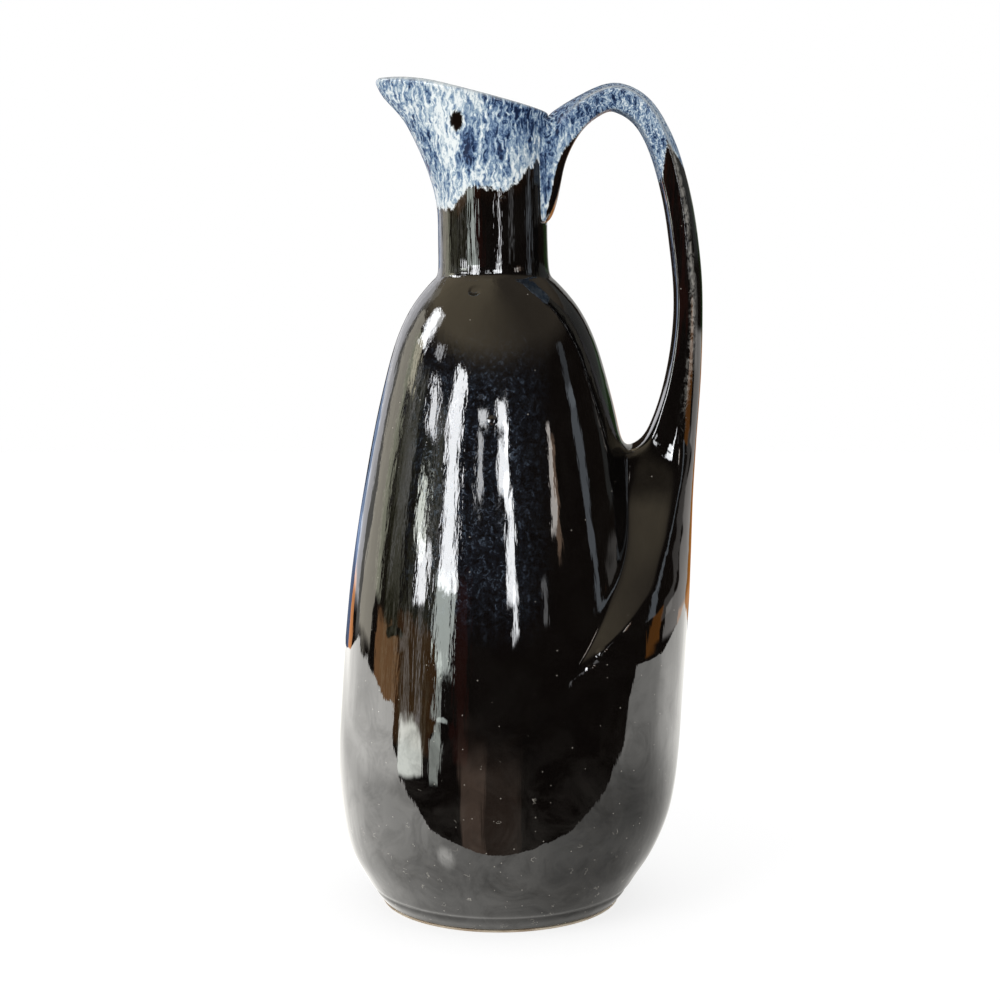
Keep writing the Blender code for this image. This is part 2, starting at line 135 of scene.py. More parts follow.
RIDGE_SHARE = (
    (0.0, 0.70), (2.0, 0.55), (4.0, 0.49), (7.0, 0.48), (9.0, 0.56), (11.0, 0.65), (13.0, 0.73),
    (15.0, 0.76), (18.0, 0.72), (23.0, 0.62),
)
INNER_HALF = ((0.0, 11.0), (1.0, 9.6), (2.0, 9.2), (3.0, 9.0), (6.0, 8.9), (23.0, 8.9))
INNER_CURVE = 0.6
STRAP_FLARE = ((0.0, 1.5), (0.5, 1.25), (1.0, 0.9), (2.0, 0.3), (3.0, 0.0))
STRAP_STEPS = 2
TAIL_START = 19.8

# Glaze of the strap, at places along it: ends of the drip glaze, and wear of its two ridges, which also
# carries a painted highlight along them
DRIP_END_RIDGE = 11.2
DRIP_END_MIDDLE = 10.05
STATION_LENGTH = 11.0
TAIL_DRIP_START = 15.0
CROWN_SINK = 0.9
WEAR_AND_HIGHLIGHT_RISE = 5.0
WEAR_AND_HIGHLIGHT_END = 20.5
WEAR_AND_HIGHLIGHT_FALL = 4.0
RIDGE_WEAR_AND_HIGHLIGHT_COLUMNS = 2.4

# Spout: drawn out to a beak, with a rim that falls towards the handle
SPOUT_BASE = 253.0
SPOUT_RISE = 48.4
SPOUT_START = 250.6
RIM_START = 298.4
RIM_TOP = RIM_START + 3.0
RIM_DROP = 11.9
RIM_SOFTNESS = 0.2
NECK_RADIUS = 19.7
BORE_RADIUS = 15.5
BEAK_NARROWING = 1.8
BEAK_LEVEL = 13.6
ROUND_BACK = math.radians(50.0)
FLARE_POWER = 1.6
LIP_FLARE = 0.15
LIP_FLARE_START = 0.70
LIP_FLARE_LENGTH = 0.20

# Rings of the lip: (outward, rise, wear of the glaze, which also paints a highlight line along the lip)
LIP_RINGS = (
    (0.45, -2.2, 0.1), (0.50, -1.2, 0.6), (0.0, -0.45, 1.0), (-0.9, -0.05, 0.9), (-2.0, 0.0, 0.6),
    (-3.0, -0.3, 0.8), (-3.8, -1.1, 0.5), (-4.1, -2.2, 0.1),
)

# Inside of the body: (height, inner radius), from the shoulder down to the floor
INSIDE_OUTLINE = (
    (236.0, 15.5), (228.0, 16.0), (222.0, 20.5), (216.0, 25.5), (208.0, 29.4), (196.0, 33.6),
    (180.0, 37.7), (160.0, 41.8), (140.0, 45.3), (120.0, 48.2), (100.0, 50.4), (80.0, 52.1),
    (62.0, 53.4), (46.0, 53.6), (32.0, 52.3), (20.0, 48.8), (14.0, 45.0), (10.4, 40.0), (9.0, 34.0),
    (8.6, 24.0), (8.5, 12.0), (8.5, 3.0),
)

# Lower edge of the drip glaze round the spout: (degrees from the front towards the handle, height)
DRIP_EDGE = (
    (-180.0, 258.0), (-150.0, 262.0), (-120.0, 258.5), (-90.0, 256.5), (-65.0, 255.0), (-48.0, 255.5),
    (-36.0, 257.5), (-25.0, 263.3), (-14.0, 262.3), (0.0, 261.6), (14.0, 261.8), (25.0, 264.4),
    (40.0, 268.5), (60.0, 271.0), (65.5, 259.0), (70.0, 251.0), (114.0, 251.0), (122.0, 259.0),
    (130.0, 267.0), (150.0, 262.0), (180.0, 258.0),
)

# Lower edge of the drip glaze on the tail of the strap: (distance from the axis, height)
TAIL_EDGE = (
    (19.0, 249.0), (19.6, 252.5), (20.1, 258.0), (21.6, 265.5), (23.4, 271.5), (26.2, 277.0),
    (30.0, 281.0), (35.0, 285.5), (40.0, 289.0),
)

# Bare spot in the drip glaze, and the colours of the drip glaze from its deepest pools to its lace
BARE_SPOT = (-14.7, -17.0, 285.6)
BARE_TRAIL = (-11.0, -18.0, 277.0)
DRIP_COLOURS = (
    (0.42, "#162340"), (0.53, "#395278"), (0.64, "#6f89a8"), (0.76, "#abbecc"), (0.90, "#ecf2f3"),
)

# Colours of the iron glaze where it breaks to a blue mottle
MOTTLE_COLOURS = ((0.42, "#080709"), (0.55, "#171b22"), (0.70, "#46515f"))

# Small marks in the iron glaze: (place, radius, rise), hollows with a rise below 0
GLAZE_MARKS = (
    ((-8.4, -23.9, 226.7), 2.9, -0.50),
    ((1.4, -19.3, 258.6), 1.3, 0.30),
    ((-2.1, -43.0, 182.8), 2.0, 0.30),
    ((-20.0, -54.6, 76.7), 5.5, 0.10),
    ((-36.3, -42.4, 105.7), 5.5, 0.10),
    ((36.1, -46.2, 101.6), 2.8, 0.30),
    ((31.9, -48.1, 96.3), 2.6, 0.30),
)

# Columns of the mesh round each part of the form
FLANK_COLUMNS = 8
CROWN_COLUMNS = 20
SEAT_COLUMNS = 12
WALL_COLUMNS = 60
SPOUT_ROWS = 12
LAST_COLUMN = 2 * FLANK_COLUMNS + CROWN_COLUMNS
MIDDLE_COLUMN = LAST_COLUMN // 2

# Heights of the mesh's rows: those in the crease above the foot, and steps elsewhere
CREASE_ROWS = [7.0, 7.4, 8.0, 8.8]
ROW_STEP = 3.0
INSIDE_STEP = 6.0

# Level stored where there is no drip glaze, and height of its edge inside the spout
NO_DRIP = -200.0
INSIDE_DRIP_EDGE = 272.0


def blend(start, end, share):
    """Value that lies the given share of the way from start to end."""
    return start + (end - start) * share


def ease(share):
    """Smooth step from 0 to 1."""
    share = min(max(share, 0.0), 1.0)
    return share * share * (3.0 - 2.0 * share)


def soft_ramp(share, soft):
    """Ramp that is 0 below 0 and equals its share above it, with a soft bend between."""
    if share <= -soft:
        return 0.0
    if share < soft:
        return (share + soft) ** 2 / (4.0 * soft)
    return share


def table_value(table, place):
    """Value at a place on a smooth curve through a table of (place, value) rows."""
    places = [row[0] for row in table]
    if place <= places[0]:
        return table[0][1]
    if place >= places[-1]:
        return table[-1][1]
    index = bisect.bisect_right(places, place) - 1
    rows = table[max(index - 1, 0):index + 3]
    start, end = table[index], table[index + 1]
    length = end[0] - start[0]
    before, after = rows[0], rows[-1]
    start_slope = (end[1] - before[1]) / (end[0] - before[0])
    end_slope = (after[1] - start[1]) / (after[0] - start[0])
    share = (place - start[0]) / length
    rest = 1.0 - share
    ends = start[1] * (1.0 + 2.0 * share) * rest * rest + end[1] * (3.0 - 2.0 * share) * share * share
    return ends + length * (start_slope * share * rest * rest - end_slope * share * share * rest)


def edge_point(stations, place):
    """Point (distance, height) on the smooth line through a list of stations."""
    distances = [(index, station[0]) for index, station in enumerate(stations)]
    heights = [(index, station[1]) for index, station in enumerate(stations)]
    return table_value(distances, place), table_value(heights, place)


def polar(radius, angle, height):
    """Point in metres at a radius and height in millimetres."""
    return Vector((radius * math.cos(angle), radius * math.sin(angle), height)) * MM


def heights_between(low, high, step):
    """Evenly spaced heights after low, up to high."""
    count = max(1, round(abs(high - low) / step))
    return [blend(low, high, (index + 1) / count) for index in range(count)]


def apron_swell(height, angle):
    """How far the apron stands out from the thrown body."""
    turn = abs(angle)
    crown = table_value(APRON_SWELL, height)
    spread = math.radians(table_value(SWELL_ANGLE, height))
    soft = crown * math.cos(0.5 * math.pi * min(turn / spread, 1.0)) ** 2
    ridge_angle = math.radians(table_value(RIDGE_ANGLE, height))
    crease_angle = math.radians(table_value(CREASE_ANGLE, height))
    ridge = table_value(RIDGE_SWELL, height)
    lift = table_value(CREASE_LIFT, height)
    if turn <= ridge_angle:
        folded = crown - (crown - ridge) * (turn / ridge_angle) ** 2
    elif turn < crease_angle:
        share = (turn - ridge_angle) / (crease_angle - ridge_angle)
        folded = lift + (ridge - lift) * (1.0 - share) ** table_value(FLANK_HOLLOW, height)
    else:
        folded = lift * max(0.0, 1.0 - (turn - crease_angle) / CREASE_FADE) ** 2
    return blend(soft, folded, ease((height - FOLD_START) / FOLD_LENGTH))


def wall_angles(crease):
    """Angles of the columns of the body that the handle doesn't touch."""
    sweep = math.tau - 2.0 * crease
    return [crease + sweep * index / WALL_COLUMNS for index in range(1, WALL_COLUMNS)]


def apron_angles(height):
    """Angles of the apron's columns, from crease over ridge and crown to the other crease."""
    crease = math.radians(table_value(CREASE_ANGLE, height))
    ridge = math.radians(table_value(RIDGE_ANGLE, height))
    flank = [blend(crease, ridge, index / FLANK_COLUMNS) for index in range(FLANK_COLUMNS)]
    crown = [ridge * (2.0 * index / CROWN_COLUMNS - 1.0) for index in range(CROWN_COLUMNS + 1)]
    return [-angle for angle in flank] + crown + flank[::-1]


def lower_ring(height):
    """Ring of the foot and the body below the crotch of the handle."""
    crease = math.radians(table_value(CREASE_ANGLE, height))
    outline = FOOT_OUTLINE if height < BODY_OUTLINE[0][0] else BODY_OUTLINE
    radius = table_value(outline, height)
    ring = []
    for angle in apron_angles(height) + wall_angles(crease):
        swell = apron_swell(height, math.remainder(angle, math.tau))
        ring.append(polar(radius + swell, angle, height))
    return ring


def seat_angles(height):
    """Angles of the columns above the crotch: the seat behind the handle, then the rest of the wall."""
    seat = math.radians(table_value(SEAT_ANGLE, height))
    back = [seat * (2.0 * index / SEAT_COLUMNS - 1.0) for index in range(SEAT_COLUMNS + 1)]
    return back + wall_angles(seat)


def upper_ring(radius, height):
    """Ring of the body or neck above the crotch of the handle."""
    return [polar(radius, angle, height) for angle in seat_angles(height)]


def beak_share(angle):
    """How far a direction takes part in the beak: nothing round the back, all of it at -X."""
    back = math.cos(ROUND_BACK)
    return max(0.0, (back - math.cos(angle)) / (1.0 + back)) ** BEAK_NARROWING


def flare(share):
    """How far out the beak leans at a share of the spout's height."""
    share = max(share, 0.0)
    return share ** FLARE_POWER + LIP_FLARE * ease((share - LIP_FLARE_START) / LIP_FLARE_LENGTH)


def spout_ring(sizes, radius, height):
    """Ring of the spout at its height before the rim is tilted."""
    share = max(height - SPOUT_BASE, 0.0) / SPOUT_RISE
    reach = sizes.beak_reach / MM
    level = BEAK_LEVEL - NECK_RADIUS - reach
    ring = []
    for angle in seat_angles(height):
        lean = beak_share(angle)
        rim = NECK_RADIUS * math.cos(angle) - reach * lean
        fall = RIM_DROP * soft_ramp((rim - level) / (NECK_RADIUS - level), RIM_SOFTNESS)
        out = lean * min(flare(share), 1.0)
        x = radius * math.cos(angle) - reach * out
        y = radius * math.sin(angle) * (1.0 - sizes.beak_pinch * out)
        ring.append(Vector((x, y, height - fall * share)) * MM)
    return ring


def strap_ring(sizes, place):
    """Section of the strap: side, crown, side and inner face, starting at the inner edge on -Y."""
    outer = edge_point(STRAP_OUTER, place)
    inner = edge_point(STRAP_INNER, place)
    half = 0.5 * sizes.strap_width / MM + table_value(STRAP_FLARE, place)
    ridge = table_value(RIDGE_SHARE, place)
    inner_half = table_value(INNER_HALF, place)
    hollow = INNER_CURVE / math.dist(outer, inner)
    side = []
    for index in range(FLANK_COLUMNS):
        share = index / FLANK_COLUMNS
        side.append((blend(hollow, ridge, share), blend(inner_half, half, share)))
    crown = []
    for index in range(CROWN_COLUMNS + 1):
        across = 2.0 * index / CROWN_COLUMNS - 1.0
        crown.append((ridge + (1.0 - ridge) * (1.0 - across * across), half * across))
    face = []
    for index in range(1, SEAT_COLUMNS):
        across = 1.0 - 2.0 * index / SEAT_COLUMNS
        face.append((hollow * across * across, inner_half * across))
    points = [(depth, -across) for depth, across in side] + crown + side[::-1] + face
    ring = []
    for depth, across in points:
        x = blend(inner[0], outer[0], depth)
        z = blend(inner[1], outer[1], depth)
        ring.append(Vector((x, across, z)) * MM)
    return ring


def ring_edges(form, ring):
    """Edges between the vertices of a closed ring."""
    return [form.edges.get(pair) for pair in zip(ring, ring[1:] + ring[:1])]


def grow_ring(form, ring, points):
    """Extrude a closed ring of vertices to new points and return the new ring."""
    grown = bmesh.ops.extrude_edge_only(form, edges=ring_edges(form, ring))["geom"]
    fresh = {item for item in grown if isinstance(item, bmesh.types.BMVert)}
    following = []
    for vert, point in zip(ring, points):
        partner = next(edge.other_vert(vert) for edge in vert.link_edges if edge.other_vert(vert) in fresh)
        partner.co = point
        following.append(partner)
    return following


def drip_level(point):
    """Height in millimetres of a point of the spout above the drip glaze's lower edge."""
    angle = math.degrees(math.atan2(point.x, -point.y))
    return point.z / MM - table_value(DRIP_EDGE, angle)


def strap_drip_level(point, place, column):
    """Distance in millimetres of a point of the strap inside the drip glaze's edge."""
    sunk = 1.0
    if column < FLANK_COLUMNS:
        sunk = 1.0 - column / FLANK_COLUMNS
    elif LAST_COLUMN - FLANK_COLUMNS < column < LAST_COLUMN:
        sunk = 1.0 - (LAST_COLUMN - column) / FLANK_COLUMNS
    elif column <= LAST_COLUMN - FLANK_COLUMNS:
        across = 2.0 * (column - FLANK_COLUMNS) / CROWN_COLUMNS - 1.0
        sunk = CROWN_SINK * (1.0 - across * across)
    along = (place - blend(DRIP_END_RIDGE, DRIP_END_MIDDLE, sunk)) * STATION_LENGTH
    if place < TAIL_DRIP_START:
        return along
    return min(along, point.z / MM - table_value(TAIL_EDGE, point.x / MM))


def join_tail(form, ring, loop):
    """Weld the last ring of the strap into its opening in the back of the spout."""
    pairs = {}
    for index, vert in enumerate(loop):
        pairs[ring[(MIDDLE_COLUMN + index) % len(ring)]] = vert
    bmesh.ops.weld_verts(form, targetmap=pairs)


def tail_loop(rows):
    """Boundary of the strap's opening, from the middle of its top towards +Y and round."""
    top, middle = SPOUT_ROWS, SEAT_COLUMNS // 2
    loop = [rows[top][column] for column in range(middle, SEAT_COLUMNS + 1)]
    loop += [rows[row][SEAT_COLUMNS] for row in range(top - 1, -1, -1)]
    loop += [rows[0][column] for column in range(SEAT_COLUMNS - 1, -1, -1)]
    loop += [rows[row][0] for row in range(1, top + 1)]
    loop += [rows[top][column] for column in range(1, middle)]
    return loop


def open_tail(form, rows):
    """Take the faces out of the back of the spout where the strap joins it."""
    patch = {vert for row in rows for vert in row[:SEAT_COLUMNS + 1]}
    faces = [face for face in form.faces if all(vert in patch for vert in face.verts)]
    bmesh.ops.delete(form, geom=faces, context="FACES")


def mark(ring, layer, values):
    """Store a value on each vertex of a ring."""
    for vert, value in zip(ring, values):
        vert[layer] = value


def grow_lower_body(form, layer):
    """Foot, belly and apron, from the floor up to the crotch; returns the ring there."""
    first = lower_ring(FOOT_OUTLINE[0][0])
    disc = bmesh.ops.create_circle(form, cap_ends=True, segments=len(first), radius=MM)
    ring = disc["verts"]
    for vert, point in zip(ring, first):
        vert.co = point
    heights = [row[0] for row in FOOT_OUTLINE[1:]] + CREASE_ROWS
    heights += heights_between(CREASE_ROWS[-1], CROTCH, ROW_STEP)
    for height in heights:
        ring = grow_ring(form, ring, lower_ring(height))
    for vert in form.verts:
        vert[layer] = NO_DRIP
    return ring


def split_crotch(form, ring):
    """Part the ring at the crotch; returns the ring of the body and the ring of the strap."""
    middle = []
    for index in range(1, SEAT_COLUMNS):
        across = 2.0 * index / SEAT_COLUMNS - 1.0
        rise = 1.0 - across * across
        point = ring[0].co.lerp(ring[LAST_COLUMN].co, index / SEAT_COLUMNS)
        point.x = blend(point.x, STRAP_INNER[0][0] * MM, rise)
        point.z += CROTCH_RISE * MM * rise
        middle.append(form.verts.new(point))
    chain = [ring[0]] + middle + [ring[LAST_COLUMN]]
    for pair in zip(chain, chain[1:]):
        form.edges.new(pair)
    body_ring = [ring[0]] + middle + ring[LAST_COLUMN:]
    strap = ring[:LAST_COLUMN + 1] + middle[::-1]
    return body_ring, strap


def grow_upper_body(form, layer, ring):
    """Shoulder and neck; returns the ring at the start of the spout."""
    heights = heights_between(CROTCH, BODY_OUTLINE[-1][0], ROW_STEP)
    outline = [(height, table_value(BODY_OUTLINE, height)) for height in heights] + list(NECK_OUTLINE)
    for height, radius in outline:
        ring = grow_ring(form, ring, upper_ring(radius, height))
        mark(ring, layer, [drip_level(vert.co) for vert in ring])
    return ring


def grow_spout(form, layer, ring, sizes):
    """Spout, lip and the inside of the ewer down to its floor; returns the rows outside."""
    rows = [ring]
    for index in range(1, SPOUT_ROWS + 1):
        height = blend(SPOUT_START, RIM_START, index / SPOUT_ROWS)
        ring = grow_ring(form, ring, spout_ring(sizes, NECK_RADIUS, height))
        rows.append(ring)
    for outward, rise, wear_and_highlight in LIP_RINGS:
        ring = grow_ring(form, ring, spout_ring(sizes, NECK_RADIUS + outward, RIM_TOP + rise))
        mark(ring, layer, [drip_level(vert.co) for vert in ring])
        # Wear of the glaze on the lip rings, which also paints highlight lines on the lip
        mark(ring, form.verts.layers.float["thin_glaze"], [wear_and_highlight] * len(ring))
    for height in heights_between(RIM_START, SPOUT_START, INSIDE_STEP):
        ring = grow_ring(form, ring, spout_ring(sizes, BORE_RADIUS, height))
        mark(ring, layer, [vert.co.z / MM - INSIDE_DRIP_EDGE for vert in ring])
    for row in rows[1:]:
        mark(row, layer, [drip_level(vert.co) for vert in row])
    for height, radius in INSIDE_OUTLINE:
        ring = grow_ring(form, ring, upper_ring(radius, height))
        mark(ring, layer, [NO_DRIP] * len(ring))
    bmesh.ops.holes_fill(form, edges=ring_edges(form, ring), sides=0)
    return rows


def ridge_share(column):
    """How thin the glaze has run at a column of the strap, and how much painted highlight it gets: most at
    its two ridges.
    """
    ridge = min(abs(column - FLANK_COLUMNS - 1), abs(LAST_COLUMN - FLANK_COLUMNS - 1 - column))
    return max(0.0, 1.0 - ridge / RIDGE_WEAR_AND_HIGHLIGHT_COLUMNS)


def grow_strap(form, layer, ring, loop, sizes):
    """Strap from the crotch, over the arch and into the back of the spout."""
    seat = [loop[(index - MIDDLE_COLUMN) % len(loop)].co.copy() for index in range(len(ring))]
    last = len(STRAP_OUTER) - 1
    for step in range(1, last * STRAP_STEPS + 1):
        place = step / STRAP_STEPS
        share = ease((place - TAIL_START) / (last - TAIL_START))
        points = [point.lerp(end, share) for point, end in zip(strap_ring(sizes, place), seat)]
        ring = grow_ring(form, ring, points)
        mark(ring, layer, [strap_drip_level(vert.co, place, index) for index, vert in enumerate(ring)])
        # Wear of the glaze along the ridges, which also paints a highlight along them
        wear_and_highlight = ease(place / WEAR_AND_HIGHLIGHT_RISE) * ease((WEAR_AND_HIGHLIGHT_END - place) / WEAR_AND_HIGHLIGHT_FALL)
        worn_and_highlight = [ridge_share(index) * wear_and_highlight for index in range(len(ring))]
        mark(ring, form.verts.layers.float["thin_glaze"], worn_and_highlight)
    join_tail(form, ring, loop)


def smooth_crotch(form):
    """Run the strap, the apron and the body into one another, as a wet thumb would, most at the crotch."""
    for inset in CROTCH_INSETS:
        low, high = CROTCH_ZONE[0] + inset, CROTCH_ZONE[1] - inset
        joint = [
            vert for vert in form.verts
            if low < vert.co.z / MM < high and vert.co.x > CROTCH_FRONT * MM
        ]
        bmesh.ops.smooth_vert(
            form, verts=joint, factor=0.5, use_axis_x=True, use_axis_y=True, use_axis_z=True)


def add_piece(name, form, material, levels):
    """Turn a bmesh into a smooth piece with one material that rides on the part."""
    mesh = bpy.data.meshes.new(name)
    form.to_mesh(mesh)
    form.free()
    mesh.shade_smooth()
    mesh.materials.append(material)
    piece = bpy.data.objects.new(name, mesh)
    bpy.context.scene.collection.objects.link(piece)
    subdivision = piece.modifiers.new("smooth_skin", "SUBSURF")
    subdivision.levels = levels
    subdivision.render_levels = levels
    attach(piece, "root")
    return piece


def colour(code):
    """Linear colour with alpha from an sRGB hex code."""
    channels = [int(code[index:index + 2], 16) / 255.0 for index in (1, 3, 5)]
    linear = [value / 12.92 if value <= 0.04045 else ((value + 0.055) / 1.055) ** 2.4 for value in channels]
    return (*linear, 1.0)


# Settings that several nodes share
SMOOTH = {"interpolation_type": "SMOOTHSTEP"}
LINEAR = {"interpolation_type": "LINEAR"}
COLOURS = {"data_type": "RGBA"}
ADD = {"operation": "ADD"}
SUBTRACT = {"operation": "SUBTRACT"}
MULTIPLY = {"operation": "MULTIPLY"}
MULTIPLY_ADD = {"operation": "MULTIPLY_ADD"}
SCALE = {"operation": "SCALE"}
LENGTH = {"operation": "LENGTH"}
DISTANCE = {"operation": "DISTANCE"}
MAXIMUM = {"operation": "MAXIMUM"}
LESS_THAN = {"operation": "LESS_THAN"}
GREATER_THAN = {"operation": "GREATER_THAN"}
DEGREES = {"operation": "DEGREES"}


def add_node(tree, kind, settings=None, stops=(), **sockets):
    """Add a shader node with its settings, colour stops and inputs, and return its first live output.

    Inputs are named, with _ for a space, or numbered as i0, i1 and so on, and are set or linked.
    """
    node = tree.nodes.new("ShaderNode" + kind)
    for name, value in (settings or {}).items():
        setattr(node, name, value)
    for index, (position, shade) in enumerate(stops):
        element = node.color_ramp.elements[index] if index < 2 else node.color_ramp.elements.new(position)
        element.position = position
        element.color = shade
    for name, value in sockets.items():
        key = int(name[1:]) if name[0] == "i" and name[1:].isdigit() else name.replace("_", " ")
        if isinstance(value, bpy.types.NodeSocket):
            tree.links.new(value, node.inputs[key])
        else:
            node.inputs[key].default_value = value
    return next((output for output in node.outputs if output.enabled), None)


def new_material(name):
    """Material with an empty node tree."""
    material = bpy.data.materials.new(name)
    material.use_nodes = True
    material.node_tree.nodes.clear()
    return material, material.node_tree


def smooth_band(tree, value, low, high, soft):
    """Mask that is 1 between two values and falls to 0 over the soft width outside them."""
    middle = 0.5 * (low + high)
    half = 0.5 * (high - low)
    offset = add_node(tree, "Math", SUBTRACT, i0=value, i1=middle)
    offset = add_node(tree, "Math", {"operation": "ABSOLUTE"}, i0=offset)
    return add_node(tree, "MapRange", SMOOTH, Value=offset, From_Min=half + soft, From_Max=half)


def axis_fades(tree, parts, table):
    """Values that change along an axis, by the names of a table's rows."""
    fades = {}
    for name, (axis, settings, start, end, before, after) in table.items():
        fades[name] = add_node(tree, "MapRange", settings, Value=parts[axis], From_Min=start, From_Max=end,
                               To_Min=before, To_Max=after)
    return fades


# What changes along the glaze: axis, kind of fade, start and end in millimetres, value before and after
GLAZE_FADES = {
    "strap": ("X", SMOOTH, 20.0, 32.0, 0.0, 0.9),
    "dull": ("Z", LINEAR, 70.0, 110.0, 0.24, 0.46),
    "beak": ("X", LINEAR, -36.0, 16.0, 0.08, -0.06),
    "crown": ("X", LINEAR, 34.0, 48.0, 0.0, 0.06),
    "film": ("Z", SMOOTH, 20.0, 90.0, 1.0, 0.10),
    "dust": ("Z", LINEAR, 20.0, 120.0, 0.45, 0.06),
    "drawn": ("Z", SMOOTH, 226.0, 233.0, 1.0, 5.0),
    "runs": ("Z", SMOOTH, 66.0, 100.0, 0.0, 1.0),
}


def glaze_material(looks):
    """Iron glaze under a blue drip glaze: a black mirror below, milky blue runs with white lace above."""
    material, tree = new_material("iron_and_drip_glaze")
    node = partial(add_node, tree)
    place = node("TexCoord").node.outputs["Object"]
    place = node("VectorMath", SCALE, i0=place, Scale=1.0 / MM)
    parts = node("SeparateXYZ", Vector=place).node.outputs
    fades = axis_fades(tree, parts, GLAZE_FADES)
    edge = node("Attribute", {"attribute_name": "glaze_edge"}).node.outputs["Fac"]
    # Where the glaze runs thin on the ridges and the lip; this also marks where a highlight is painted
    worn_and_highlight = node("Attribute", {"attribute_name": "thin_glaze"}).node.outputs["Fac"]

    # Flow of the melt, drawn out downwards and swirled: cells 2 mm, strands 1.2 mm, clouds 10 mm wide
    swirl = node("TexNoise", Vector=place, Scale=0.30, Detail=2.0).node.outputs["Color"]
    swirl = node("VectorMath", SUBTRACT, i0=swirl, i1=(0.5, 0.5, 0.5))
    flow = node("VectorMath", MULTIPLY_ADD, i0=swirl, i1=(3.0, 3.0, 9.0), i2=place)
    strands = node("VectorMath", MULTIPLY, i0=flow, i1=(1.0, 1.0, 0.24))
    cells = node("TexVoronoi", {"feature": "DISTANCE_TO_EDGE"}, Vector=strands, Scale=0.50)
    lace = node("MapRange", Value=cells, From_Min=0.0, From_Max=0.30, To_Min=1.0, To_Max=0.0)
    feather = node("TexNoise", Vector=strands, Scale=0.85, Detail=5.0, Roughness=0.70)
    combed = node("VectorMath", MULTIPLY, i0=flow, i1=(1.0, 1.0, 0.6))
    combed = node("TexNoise", Vector=combed, Scale=1.7, Detail=3.0, Roughness=0.66)
    feather = node("Mix", i0=fades["strap"], i2=feather, i3=combed)
    drift = node("VectorMath", ADD, i0=flow, i1=(8.0, 0.0, 4.0))
    clouds = node("TexNoise", Vector=drift, Scale=0.10, Detail=2.0)

    # Edge of the drip glaze: long tongues with a fringe of lace, and a bare spot
    drips = node("VectorMath", MULTIPLY, i0=place, i1=(1.0, 1.0, 0.06))
    tongues = node("TexNoise", Vector=drips, Scale=0.26, Detail=2.0)
    reach = node("Math", MULTIPLY_ADD, i0=tongues, i1=6.0, i2=edge)
    reach = node("Math", MULTIPLY_ADD, i0=feather, i1=7.0, i2=reach)
    level = node("Math", SUBTRACT, i0=reach, i1=6.5)
    bare = node("VectorMath", SUBTRACT, i0=place, i1=BARE_SPOT)
    bare = node("VectorMath", MULTIPLY, i0=bare, i1=(1.0, 1.0, 0.72))
    bare = node("VectorMath", LENGTH, i0=bare)
    bare = node("Math", MULTIPLY_ADD, i0=feather, i1=3.6, i2=bare)
    bare = node("Math", SUBTRACT, i0=bare, i1=4.1)
    pit = node("MapRange", Value=bare, From_Min=0.2, From_Max=-0.4)
    level = node("Math", {"operation": "MINIMUM"}, i0=level, i1=bare)
    cover = node("MapRange", SMOOTH, Value=level, From_Min=-0.3, From_Max=0.4)
    satin = node("MapRange", Value=cover, To_Min=0.02, To_Max=0.25)
    smear = node("TexNoise", Vector=place, Scale=0.050, Detail=7.0, Roughness=0.72, Distortion=1.6)
    smear = node("MapRange", Value=smear, From_Min=0.44, From_Max=0.72, To_Min=0.50, To_Max=fades["dull"])
    sheen = node("Mix", i0=cover, i2=smear, i3=0.05)
    sheen = node("Mix", i0=worn_and_highlight, i2=sheen, i3=0.50)
    sheen = node("Mix", i0=pit, i2=sheen, i3=0.0)

    # Tone of the drip glaze: white lace over indigo, whiter where it has run thin and at the beak
    thin = node("MapRange", Value=level, From_Min=0.0, From_Max=14.0, To_Min=0.22, To_Max=0.0)
    thin = node("Mix", i0=fades["strap"], i2=thin, i3=0.03)
    beak = node("Math", ADD, i0=fades["beak"], i1=fades["crown"])
    tone = node("Math", MULTIPLY_ADD, i0=lace, i1=0.20, i2=thin)
    tone = node("Math", MULTIPLY_ADD, i0=feather, i1=1.5, i2=tone)
    tone = node("Math", MULTIPLY_ADD, i0=clouds, i1=0.34, i2=tone)
    tone = node("Math", ADD, i0=tone, i1=beak)
    tone = node("Math", SUBTRACT, i0=tone, i1=0.41)
    trail = node("VectorMath", SUBTRACT, i0=place, i1=BARE_TRAIL)
    trail = node("VectorMath", MULTIPLY, i0=trail, i1=(1.0, 1.0, 0.32))
    trail = node("VectorMath", LENGTH, i0=trail)
    trail = node("MapRange", SMOOTH, Value=trail, From_Min=0.0, From_Max=4.4, To_Min=0.40, To_Max=0.0)
    tone = node("Math", SUBTRACT, i0=tone, i1=trail)
    blue = node("ValToRGB", stops=[(stop, colour(code)) for stop, code in DRIP_COLOURS], Fac=tone)

    # Iron glaze: black, breaking to rust in a thin halo under the drip glaze, with a mottle of blue
    mottle = node("TexNoise", Vector=flow, Scale=0.50, Detail=5.0, Roughness=0.80)
    iron = node("ValToRGB", stops=[(stop, colour(code)) for stop, code in MOTTLE_COLOURS], Fac=mottle)
    field = smooth_band(tree, parts["X"], -22.0, 4.0, 16.0)
    upright = smooth_band(tree, parts["Z"], 135.0, 185.0, 34.0)
    field = node("Math", MULTIPLY, i0=field, i1=upright)
    iron = node("Mix", COLOURS, i0=field, i6=(*looks.dark_glaze, 1.0), i7=iron)
    film = node("TexNoise", Vector=place, Scale=0.045, Detail=6.0, Roughness=0.68, Distortion=1.2)
    film = node("MapRange", Value=film, From_Min=0.42, From_Max=0.75, To_Max=0.40)
    film = node("Math", MULTIPLY, i0=film, i1=fades["film"])
    iron = node("Mix", COLOURS, i0=film, i6=iron, i7=colour("#4d4a46"))
    halo = node("MapRange", SMOOTH, Value=level, From_Min=-7.0, From_Max=0.0)
    halo = node("Math", MULTIPLY, i0=halo, i1=clouds)
    iron = node("Mix", COLOURS, i0=halo, i6=iron, i7=colour("#1d110a"))
